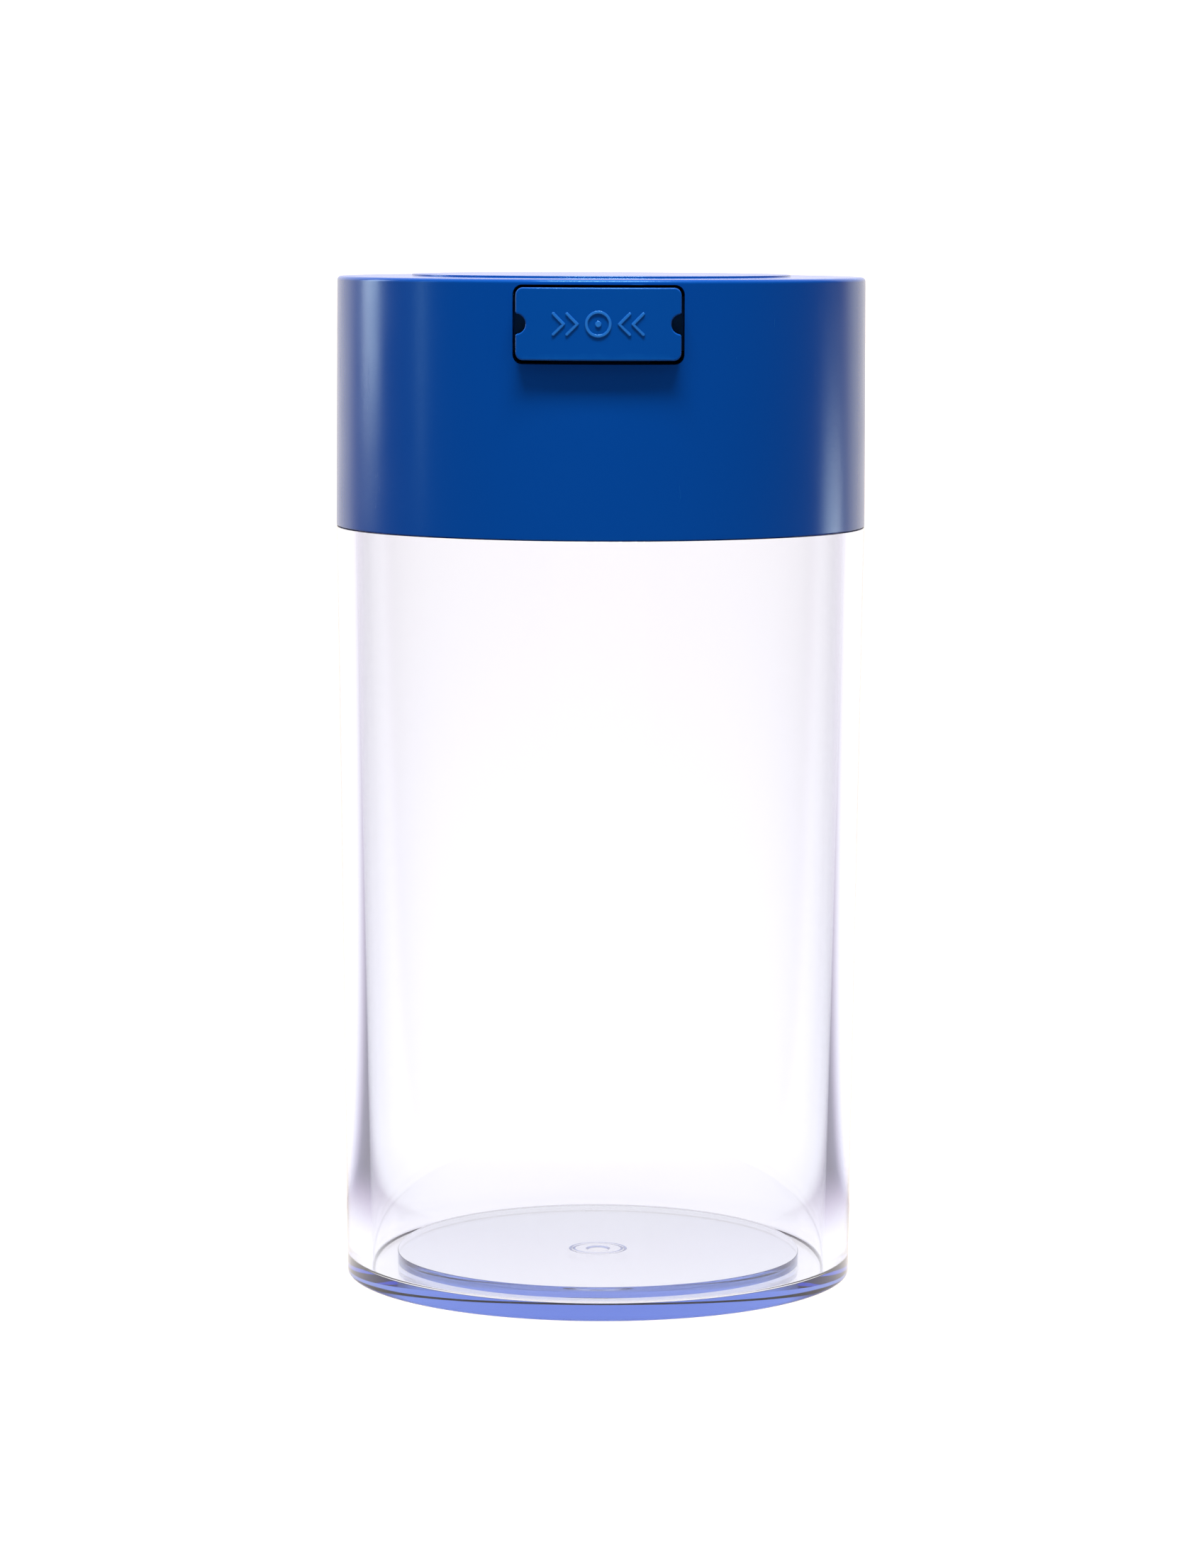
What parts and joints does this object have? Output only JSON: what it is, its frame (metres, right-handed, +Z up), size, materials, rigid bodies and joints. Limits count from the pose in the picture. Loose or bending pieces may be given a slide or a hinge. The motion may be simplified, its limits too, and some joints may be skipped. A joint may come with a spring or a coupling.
{
  "type": "vacuum storage canister",
  "caption": "Clear thick-walled round storage canister with a plain blue push-on cap and a push button on the cap's front that vents an air valve.",
  "frame": {"origin": "centre of the round foot, on the table plane under the canister", "axes": "+Z up along the canister's axis, -Y towards the front, where the push button is, +X to the right seen from the front"},
  "size_m": [0.0824, 0.0842, 0.157],
  "materials": {
    "clear_plastic": "gloss",
    "blue_plastic": "satin",
    "liner_plastic": "satin",
    "button_plastic": "gloss",
    "seal_rubber": "satin",
    "spring_steel": "satin",
    "stem_plastic": "satin",
    "valve_rubber": "satin"
  },
  "bodies": {
    "canister": {"canister_body": "clear_plastic"},
    "seal": {"neck_seal": "seal_rubber"},
    "cap": {"cap_shell": "blue_plastic", "cap_liner": "liner_plastic", "return_spring": "spring_steel"},
    "button": {"press_button": "button_plastic", "valve_stem": "stem_plastic", "valve_disc": "valve_rubber"}
  },
  "joints": [
    {"name": "cap_lift", "type": "slide", "parent": "canister", "child": "seal", "axis": [0, 0, 1], "range_m": [0, 0.06]},
    {"name": "cap_turn", "type": "hinge", "parent": "seal", "child": "cap", "pos_m": [0, 0, 0.13], "axis": [0, 0, 1], "continuous": true},
    {"name": "button_press", "type": "slide", "parent": "cap", "child": "button", "axis": [0, 1, 0], "range_m": [0, 0.002], "stiffness_N_per_m": 800, "springref_m": -0.002, "deforming": ["return_spring"]}
  ]
}
